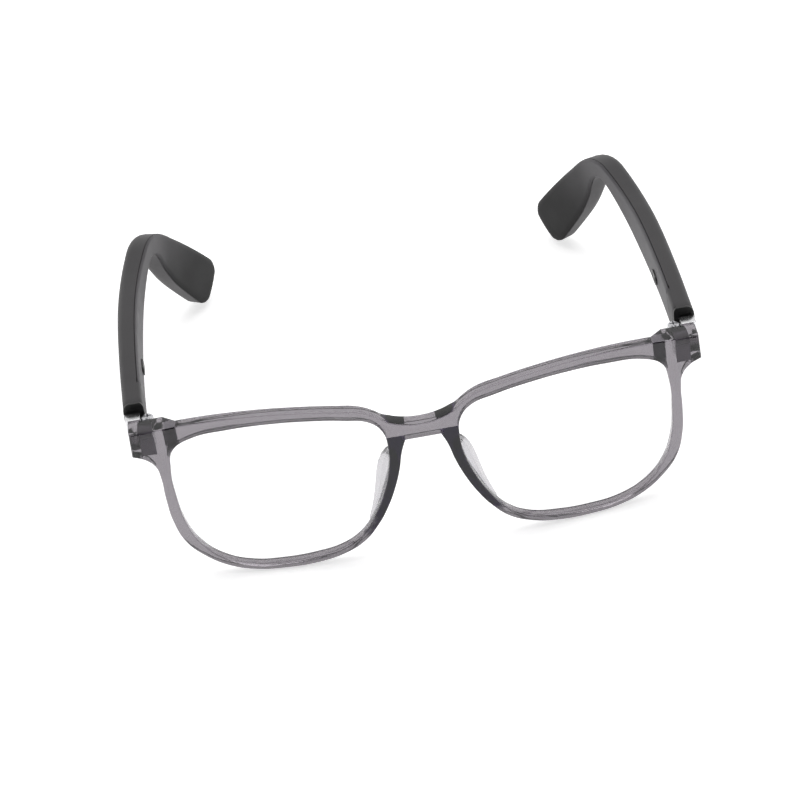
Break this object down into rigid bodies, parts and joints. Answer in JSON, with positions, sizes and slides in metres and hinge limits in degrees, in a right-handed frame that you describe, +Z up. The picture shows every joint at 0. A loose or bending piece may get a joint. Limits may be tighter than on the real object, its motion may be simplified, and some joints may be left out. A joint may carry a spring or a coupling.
{
  "type": "smart glasses",
  "caption": "Full-rim smart glasses with a clear grey front, folding hook temples that hold audio electronics, and charging ports inside the temples.",
  "frame": {"origin": "on the table under the middle of the object's bounding box, glasses standing on their rims and temple tips", "axes": "+Z up, +X towards the wearer's left, -Y the way the wearer looks, +Y back along the temples"},
  "size_m": [0.1474, 0.143, 0.0484],
  "materials": {
    "front_plastic": "clear grey-mauve moulded plastic, polished",
    "lens_clear": "clear coated lens",
    "pad_clear": "pale clear plastic, polished",
    "hinge_nickel": "bright nickel plated",
    "leaf_nickel": "bright nickel plated",
    "screw_steel": "bright turned steel",
    "shell_charcoal": "soft-touch charcoal, fine matte",
    "cover_grey": "satin grey, fine matte",
    "cap_black": "black moulded plastic",
    "port_black": "gloss black",
    "contact_gold": "gold plated",
    "board_green": "solder mask",
    "sensor_film": "amber film",
    "battery_foil": "laminated foil pouch",
    "speaker_black": "black moulded case",
    "mesh_steel": "black coated steel mesh",
    "mic_can": "plated can",
    "flex_amber": "amber polyimide"
  },
  "bodies": {
    "front": {"front_frame": "front_plastic", "lens_left": "lens_clear", "lens_right": "lens_clear", "nose_pad_left": "pad_clear", "nose_pad_right": "pad_clear", "hinge_base_left": "hinge_nickel", "hinge_base_right": "hinge_nickel", "hinge_screws": "screw_steel"},
    "temple_left": {"temple_shell_left": "shell_charcoal", "temple_cover_left": "cover_grey", "end_cap_left": "cap_black", "hinge_leaf_left": "leaf_nickel", "charge_port_left": "port_black", "charge_contacts_left": "contact_gold", "circuit_board_left": "board_green", "touch_sensor_left": "sensor_film", "battery_left": "battery_foil", "speaker_left": "speaker_black", "speaker_mesh_left": "mesh_steel", "microphone_left": "mic_can", "flex_cable_left": "flex_amber"},
    "temple_right": {"temple_shell_right": "shell_charcoal", "temple_cover_right": "cover_grey", "end_cap_right": "cap_black", "hinge_leaf_right": "leaf_nickel", "charge_port_right": "port_black", "charge_contacts_right": "contact_gold", "circuit_board_right": "board_green", "touch_sensor_right": "sensor_film", "battery_right": "battery_foil", "speaker_right": "speaker_black", "speaker_mesh_right": "mesh_steel", "microphone_right": "mic_can", "flex_cable_right": "flex_amber"}
  },
  "joints": [
    {"name": "fold_left", "type": "hinge", "parent": "front", "child": "temple_left", "pos_m": [0.0672, -0.05676, 0.0413], "axis": [0, 0, 1], "range_deg": [0, 84]},
    {"name": "fold_right", "type": "hinge", "parent": "front", "child": "temple_right", "pos_m": [-0.0672, -0.05676, 0.0413], "axis": [0, 0, -1], "range_deg": [0, 70]}
  ]
}
